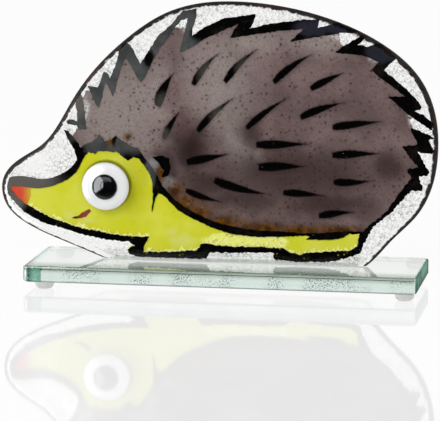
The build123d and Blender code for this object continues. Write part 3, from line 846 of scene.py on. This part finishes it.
def panel_mesh(materials):
    rim, outward = panel_rim()

    def ring(inset):
        """The rim moved inwards, its two ends sliding along the standing edge."""
        points = [point - normal * inset for point, normal in zip(rim, outward)]
        for end in (0, -1):
            points[end] = rim[end] - Vector((inset / outward[end].x, 0))
        return points

    turns = [math.radians(90) * step / RIM_STEPS for step in range(RIM_STEPS + 1)]
    rows = [
        (FRONT_RIM_RADIUS * (1 - math.cos(turn)), front_y + FRONT_RIM_RADIUS * (1 - math.sin(turn)))
        for turn in reversed(turns)
    ]
    rows += [
        (BACK_RIM_RADIUS * (1 - math.cos(turn)), back_y - BACK_RIM_RADIUS * (1 - math.sin(turn)))
        for turn in turns
    ]
    shape = bmesh.new()
    inset_layer = shape.verts.layers.float.new("rim_inset")
    rings = []
    for inset, y in rows:
        rings.append([shape.verts.new((point.x, y, point.y)) for point in ring(inset)])
        for vertex, normal in zip(rings[-1], outward):
            vertex[inset_layer] = inset / rim_line(normal, y)
    for front_ring, back_ring in zip(rings, rings[1:]):
        for index in range(len(rim) - 1):
            face = shape.faces.new((
                front_ring[index], back_ring[index], back_ring[index + 1], front_ring[index + 1],
            ))
            face.material_index = RIM_MATERIAL
    right = [row[0] for row in rings]
    left = [row[-1] for row in rings]
    shape.faces.new(left + right[::-1]).material_index = BACK_MATERIAL
    add_wavy_face(
        shape, ring(rows[0][0]), rings[0], front_y, FRONT_WAVES, FRONT_WAVE_SEED, FRONT_MATERIAL
    )
    add_wavy_face(
        shape, ring(rows[-1][0]), rings[-1], back_y, BACK_WAVES, BACK_WAVE_SEED, BACK_MATERIAL
    )
    add_bubbles(shape)
    mesh = bpy.data.meshes.new("glass_panel")
    shape.to_mesh(mesh)
    shape.free()
    for material in materials:
        mesh.materials.append(material)
    mesh.shade_smooth()
    mesh.set_sharp_from_angle(angle=math.radians(50))
    return mesh


BUBBLE_SHARES = (
    (0.464, 0.916), (0.36, 0.681), (0.78, 0.483), (0.65, 0.548), (0.615, 0.407), (0.254, 0.469),
    (0.295, 0.458), (0.358, 0.354), (0.4, 0.293), (0.466, 0.21), (0.5, 0.083), (0.531, 0.391),
    (0.648, 0.079),
)
BUBBLE_RADIUS = 0.7 * MM
BUBBLE_SIZE_SHARES = (0.7, 1.0)
FLATNESS_SHARE = 0.8
FRONT_CLEARANCE = 0.8 * MM
SEAM_CLEARANCE = 0.9 * MM
CHANCE_SEED = 5
SEED_BUBBLES = 90
SEED_RADII = (0.18 * MM, 0.42 * MM)
SEED_ACROSS_SHARES = (0.3, 0.92)
SEED_UP_SHARES = (0.15, 0.92)
SEED_MIDDLE_SHARES = (0.6, 0.48)
SEED_REACH_SHARE = 0.38


def add_bubbles(shape):
    """Air bubbles in the front sheet: the large ones that show, and scattered small ones."""
    chance = random.Random(CHANCE_SEED)
    bubbles = [
        (at(*shares), BUBBLE_RADIUS * chance.uniform(*BUBBLE_SIZE_SHARES)) for shares in BUBBLE_SHARES
    ]
    while len(bubbles) < len(BUBBLE_SHARES) + SEED_BUBBLES:
        spot = (chance.uniform(*SEED_ACROSS_SHARES), chance.uniform(*SEED_UP_SHARES))
        if math.dist(spot, SEED_MIDDLE_SHARES) < SEED_REACH_SHARE:
            bubbles.append((at(*spot), chance.uniform(*SEED_RADII)))
    for centre, radius in bubbles:
        y = chance.uniform(front_y + FRONT_CLEARANCE, seam_y - SEAM_CLEARANCE)
        flattened = Matrix.Diagonal((1, FLATNESS_SHARE, 1, 1))
        place = Matrix.Translation((centre.x, y, centre.y)) @ flattened
        made = bmesh.ops.create_icosphere(shape, subdivisions=2, radius=radius, matrix=place)
        skin = {face for vertex in made["verts"] for face in vertex.link_faces}
        bmesh.ops.reverse_faces(shape, faces=list(skin))


panel_materials = (
    new_material("clear_glass_front", front_glass),
    new_material("clear_glass_back", back_glass),
    new_material("clear_glass_rim", rim_glass),
)
new_object("glass_panel", panel_mesh(panel_materials), None, ("front_sheet", "back_sheet"))

# Coloured glass inside the panel: fields behind, patches before them, black lines in front
# Each line has its material, and the depth and length of its edge's teeth in millimetres
black = new_material("black_glass", black_glass, fleck=srgb(60, 55, 50), fleck_share=0.03)
black_flecked = new_material("black_glass_flecked", black_glass, fleck=srgb(186, 176, 52), fleck_share=0.1)
LINES = {
    "back_outline_left": (black, 0.35, 1.4),
    "back_outline_right": (black, 0.35, 1.4),
    "rump_outline": (black, 0.6, 1.0),
    "temple_stroke": (black, 0.35, 1.4),
    "snout_outline": (black, 0.25, 1.6),
    "lower_outline": (black_flecked, 0.6, 0.9),
    "belly_line": (black, 0.35, 1.2),
    "neck_stroke": (black, 0.35, 1.2),
    "ear_stroke": (black, 0.5, 2.0),
    "brow_tufts": (black, 0.5, 1.2),
    "tail_stroke": (black, 0.3, 1.5),
}
for name, (material, tooth, grain) in LINES.items():
    loop = ragged_outline(name, tooth * MM, grain * MM, LINE_LIFT)
    mesh = slab(name, loop, LINE_SPAN_SHARES)
    new_object(f"{name}_glass", mesh, material, (name,))
    if name == "lower_outline":
        # Painted highlight along the parts of the lower outline that face up
        mesh = gleam_mesh("edge_gleam", loop, depth(GLEAM_DEPTH_SHARE))
        gleam = new_material("painted_highlight_yellow", gleam_glass)
        new_object("edge_gleam", mesh, gleam, ())

quill_black = new_material("quill_glass", quill_glass)
for name in sorted(nodes):
    if name.startswith("quill"):
        loop = ragged_outline(name, QUILL_TOOTH, QUILL_GRAIN, QUILL_LIFT)
        inner, distances = grid_inside(loop, QUILL_POINT_SPACING)
        cores = [min(1, distance / QUILL_FADE) for distance in distances]
        mesh = slab(name, loop, LINE_SPAN_SHARES, inner, cores)
        new_object(f"{name}_glass", mesh, quill_black, (name,))

PATCHES = {
    "nose_patch": new_material(
        "red_glass", red_glass, span_shares=(0.042, 0.08),
        left=srgb(226, 84, 60), right=srgb(216, 200, 62), grain_colour=srgb(200, 116, 80),
    ),
    "cheek_stroke": new_material(
        "cheek_glass", red_glass, span_shares=(0.165, 0.195),
        left=srgb(92, 48, 20), right=srgb(152, 74, 62), grain_colour=srgb(110, 48, 60),
    ),
}
for name, material in PATCHES.items():
    loop = ragged_outline(name, PATCH_TOOTH, PATCH_GRAIN, PATCH_LIFT)
    new_object(f"{name}_glass", slab(name, loop, PATCH_SPAN_SHARES), material, (name,))

FIELDS = {
    "spine_field": (new_material("mauve_glass", spine_glass), "mauve_glass", 0.9, 1.6),
    "face_field": (new_material("yellow_glass", face_glass), "yellow_glass", 0.3, 1.5),
}
for name, (material, slot, tooth, grain) in FIELDS.items():
    loop = ragged_outline(name, tooth * MM, grain * MM, FIELD_LIFT)
    new_object(f"{name}_glass", slab(name, loop, FIELD_SPAN_SHARES), material, (name,))

# Eye: two domes turned about the eye's axis, sunk a little into what they sit on
EYE_SEGMENTS = 96
EYE_SINK = 0.3 * MM


def dome_mesh(name, profile_shares):
    """A round piece turned from its profile: shares of its radius and height, from rim to middle."""
    low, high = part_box(name)
    centre = (low + high) / 2
    radius = (high.x - low.x) / 2
    rise = high.y - low.y
    shape = bmesh.new()
    turns = [2 * math.pi * index / EYE_SEGMENTS for index in range(EYE_SEGMENTS)]
    rings = []
    for out_share, up_share in profile_shares:
        reach = radius * out_share
        y = high.y - up_share * rise if up_share else high.y + EYE_SINK
        rings.append([
            shape.verts.new((centre.x + reach * math.cos(turn), y, centre.z + reach * math.sin(turn)))
            for turn in turns
        ])
    for outer, inner in zip(rings, rings[1:]):
        for index in range(EYE_SEGMENTS):
            after = (index + 1) % EYE_SEGMENTS
            shape.faces.new((outer[index], outer[after], inner[after], inner[index]))
    shape.faces.new(rings[-1])
    shape.faces.new(rings[0][::-1])
    mesh = bpy.data.meshes.new(name)
    shape.to_mesh(mesh)
    shape.free()
    mesh.shade_smooth()
    mesh.set_sharp_from_angle(angle=math.radians(60))
    return mesh


EYE_WHITE_SHARES = (
    (0.985, 0.0), (0.998, 0.15), (1.0, 0.3), (0.992, 0.45), (0.97, 0.6), (0.93, 0.74),
    (0.87, 0.85), (0.79, 0.93), (0.7, 0.975), (0.6, 0.998), (0.3, 1.0), (0.01, 1.0),
)
PUPIL_SHARES = (
    (0.985, 0.0), (1.0, 0.08), (0.995, 0.16), (0.97, 0.26), (0.92, 0.36), (0.85, 0.46),
    (0.75, 0.58), (0.65, 0.68), (0.55, 0.765), (0.45, 0.84), (0.35, 0.903), (0.25, 0.95),
    (0.15, 0.982), (0.07, 0.996), (0.01, 1.0),
)
for name, shares, slot, material in (
    ("eye_white", EYE_WHITE_SHARES, "white_glass", new_material("white_glass", white_glass)),
    ("eye_pupil", PUPIL_SHARES, "black_glass", new_material("pupil_glass", pupil_glass)),
):
    new_object(f"{name}_glass", dome_mesh(name, shares), material, (name,))

# Base, bumpers and adhesive keep the CAD shapes
front_bumper = new_material("clear_bumper", bumper_plastic, milkiness=0.62)
rear_bumper = new_material("clear_bumper_rear", bumper_plastic, milkiness=0.25)
CARRIED = {
    "base_plate": new_material("float_glass", base_glass),
    "bond_bead": new_material("clear_adhesive", adhesive),
}
CARRIED.update({name: front_bumper for name in nodes if name.startswith("foot_front")})
CARRIED.update({name: rear_bumper for name in nodes if name.startswith("foot_rear")})
for name, material in CARRIED.items():
    nodes[name].data.materials.clear()
    nodes[name].data.materials.append(material)

# Floor: its gloss fades behind the ornament and beside it, and where it is seen from above
FLOOR_SIZE = 12.0
FLOOR_GLOSS = 0.19
FLOOR_ROUGHNESS = 0.045
FLOOR_SHADE = 0.08
GLOSS_FADE = (0.04, 0.1)
GLOSS_SIDES = (0.115, 0.145)
GLOSS_SLANT_SHARES = (0.45, 0.7)

# Card in front of the panel, with a softbox that the eye mirrors and a fill; slopes are rise over run
CARD_PLACE = Vector((0, -0.05, 0.151))
CARD_WIDTH = 0.9
CARD_HEIGHT = 0.3
CARD_REACH = 0.15
FOOT_CARD_LENGTH = 0.02
FOOT_CARD_LIFT = 0.4 * MM
FLAT_SLANT = 1.038
FLAT_LENGTH = FLAT_SLANT * (front_y - CARD_PLACE.y)
FLAT_BAND = (0.8 * MM, 1.0 * MM)
SOFTBOX_EDGE = -0.064
SOFTBOX_WIDTH = 0.125
SOFTBOX_FOOT = 0.04
SOFTBOX_TOP = 0.074
FOOT_SLOPE = 0.75
TOP_SLOPE = 1.125
SOFTBOX_BLUR = 0.004
SOFTBOX_FAR_BLUR = 0.02
SOFTBOX_FOOT_BLUR = (-0.004, 0.014)
SOFTBOX_TOP_BLUR = 0.006
SOFTBOX_LIGHT = 9.5
FILL_EDGE = -0.02
FILL_FOOT = 0.068
FILL_TOP = 0.11
FILL_BLUR = 0.01
FILL_FOOT_BLUR = 0.005
FILL_LIGHT = 2.2

# Surround: shares of a line of sight's length, upwards and to the side, where the white turns dim
CEILING_SHARES = (0.55, 0.8)
WING_SHARES = (0.55, 0.75)
WING_TOP_SHARES = (0.15, 0.05)
DIM = (0.06, 0.06, 0.06, 1)
WHITE = (1, 1, 1, 1)


def seen_directly(tree):
    """1 for what the camera sees, straight on or through gloss and clear glass."""
    path = add(tree, "ShaderNodeLightPath").outputs
    direct = math_node(tree, "MAXIMUM", path["Is Camera Ray"], path["Is Glossy Ray"])
    direct = math_node(tree, "MAXIMUM", direct, path["Is Transmission Ray"])
    first = math_node(tree, "LESS_THAN", path["Diffuse Depth"], 0.5)
    return product(tree, direct, first)


def plane_object(name, width, length, matrix, material):
    mesh = bpy.data.meshes.new(name)
    signs = ((-1, -1), (1, -1), (1, 1), (-1, 1))
    corners = [(x * width / 2, y * length / 2, 0) for x, y in signs]
    mesh.from_pydata(corners, [], [(0, 1, 2, 3)])
    mesh.materials.append(material)
    plane = linked(name, mesh)
    plane.matrix_world = matrix
    return plane


def floor_surface(tree):
    """White, glossy at a slant under the ornament and in front of it, where the card can't be mirrored."""
    white = add(tree, "ShaderNodeEmission", {"Color": WHITE, "Strength": 1.0})
    matt = add(tree, "ShaderNodeBsdfDiffuse", {"Color": srgb(246, 246, 246)})
    gloss = add(tree, "ShaderNodeBsdfGlossy", {"Color": WHITE, "Roughness": FLOOR_ROUGHNESS})
    place = add(tree, "ShaderNodeTexCoord").outputs["Object"]
    across, behind, _ = axes(tree, place)
    under = ramp(tree, math_node(tree, "ABSOLUTE", across), *reversed(GLOSS_SIDES))
    in_front = math_node(tree, "LESS_THAN", behind, CARD_PLACE.y)
    slant = add(tree, "ShaderNodeLayerWeight", {"Blend": 0.5}).outputs["Facing"]
    share = product(
        tree,
        ramp(tree, behind, *reversed(GLOSS_FADE)),
        FLOOR_GLOSS,
        math_node(tree, "MAXIMUM", under, in_front),
        ramp(tree, slant, *GLOSS_SLANT_SHARES),
    )
    direct = mixed(tree, share, mixed(tree, FLOOR_SHADE, white, matt), gloss)
    shown(tree, mixed(tree, seen_directly(tree), matt, direct))


def card_surface(tree):
    """A dark card with a softbox and a fill; flat glass, one fixed length away, sees only the dark."""
    geometry = add(tree, "ShaderNodeNewGeometry").outputs
    across, _, up = axes(tree, geometry["Position"])
    left = math_node(tree, "SUBTRACT", SOFTBOX_EDGE, across)
    foot = math_node(tree, "MULTIPLY_ADD", left, -FOOT_SLOPE, SOFTBOX_FOOT)
    top = math_node(tree, "MULTIPLY_ADD", left, TOP_SLOPE, SOFTBOX_TOP)
    softbox = product(
        tree,
        ramp(tree, left, 0, SOFTBOX_BLUR),
        SOFTBOX_LIGHT,
        ramp(tree, left, SOFTBOX_WIDTH, SOFTBOX_WIDTH - SOFTBOX_FAR_BLUR),
        ramp(tree, math_node(tree, "SUBTRACT", up, foot), *SOFTBOX_FOOT_BLUR),
        ramp(tree, math_node(tree, "SUBTRACT", top, up), 0, SOFTBOX_TOP_BLUR),
    )
    fill = product(
        tree,
        ramp(tree, across, FILL_EDGE, FILL_EDGE - FILL_BLUR),
        FILL_LIGHT,
        ramp(tree, up, FILL_FOOT, FILL_FOOT + FILL_FOOT_BLUR),
        ramp(tree, up, FILL_TOP, FILL_TOP - FILL_BLUR),
    )
    length = add(tree, "ShaderNodeLightPath").outputs["Ray Length"]
    off_flat = math_node(tree, "ABSOLUTE", math_node(tree, "SUBTRACT", length, FLAT_LENGTH))
    strength = product(tree, math_node(tree, "MAXIMUM", softbox, fill), ramp(tree, off_flat, *FLAT_BAND))
    light = add(tree, "ShaderNodeEmission", {"Color": srgb(250, 252, 255), "Strength": strength})
    too_far = math_node(tree, "GREATER_THAN", length, CARD_REACH)
    hidden = math_node(tree, "MAXIMUM", geometry["Backfacing"], too_far)
    shown(tree, mixed(tree, hidden, light, add(tree, "ShaderNodeBsdfTransparent")))


plane_object("floor", FLOOR_SIZE, FLOOR_SIZE, Matrix.Identity(4), new_material("floor", floor_surface))
facing_ornament = Matrix.Translation(CARD_PLACE) @ Matrix.Rotation(math.radians(-90), 4, "X")
on_floor = Matrix.Translation((0, CARD_PLACE.y + FOOT_CARD_LENGTH / 2, FOOT_CARD_LIFT))
dark_card = new_material("card", card_surface)
for card in (
    plane_object("card", CARD_WIDTH, CARD_HEIGHT, facing_ornament, dark_card),
    plane_object("foot_card", CARD_WIDTH, FOOT_CARD_LENGTH, on_floor, dark_card),
):
    card.visible_camera = False
    card.visible_diffuse = False
    card.visible_transmission = False
    card.visible_shadow = False
    card.visible_volume_scatter = False

# White surround: its ceiling is dim, and in gloss its low sides too; plain light for the rest
world = bpy.data.worlds.new("surround")
scene.world = world
world.use_nodes = True
tree = world.node_tree
tree.nodes.clear()
sight = add(tree, "ShaderNodeTexCoord").outputs["Generated"]
aside, _, height = axes(tree, sight)
wings = product(
    tree,
    ramp(tree, math_node(tree, "ABSOLUTE", aside), *WING_SHARES),
    ramp(tree, height, *WING_TOP_SHARES),
    add(tree, "ShaderNodeLightPath").outputs["Is Glossy Ray"],
)
dimmed = math_node(tree, "MAXIMUM", ramp(tree, height, *CEILING_SHARES), wings)
seen = add(tree, "ShaderNodeBackground", {"Color": blended(tree, dimmed, WHITE, DIM), "Strength": 1.0})
plain = add(tree, "ShaderNodeBackground", {"Color": WHITE, "Strength": PLAIN_LIGHT})
surround = mixed(tree, seen_directly(tree), plain, seen)
add(tree, "ShaderNodeOutputWorld", {"Surface": surround.outputs[0]})

key = bpy.data.lights.new("key", "AREA")
key.energy = KEY_POWER
key.size = KEY_SIZE
key_object = linked("key", key)
key_object.location = KEY_PLACE
key_object.rotation_euler = (CAMERA_TARGET - KEY_PLACE).to_track_quat("-Z", "Y").to_euler()
key_object.visible_glossy = False
key_object.visible_transmission = False

# Camera
azimuth, elevation = math.radians(CAMERA_AZIMUTH), math.radians(CAMERA_ELEVATION)
toward_camera = Vector((
    math.sin(azimuth) * math.cos(elevation),
    -math.cos(azimuth) * math.cos(elevation),
    math.sin(elevation),
))
camera = bpy.data.cameras.new("camera")
camera.sensor_width = SENSOR_WIDTH_MM
camera.lens = FOCAL_PIXELS * SENSOR_WIDTH_MM / IMAGE_WIDTH
camera_object = linked("camera", camera)
camera_object.location = CAMERA_TARGET + toward_camera * CAMERA_DISTANCE
camera_object.rotation_euler = (-toward_camera).to_track_quat("-Z", "Y").to_euler()
scene.camera = camera_object
scene.view_settings.view_transform = "Standard"
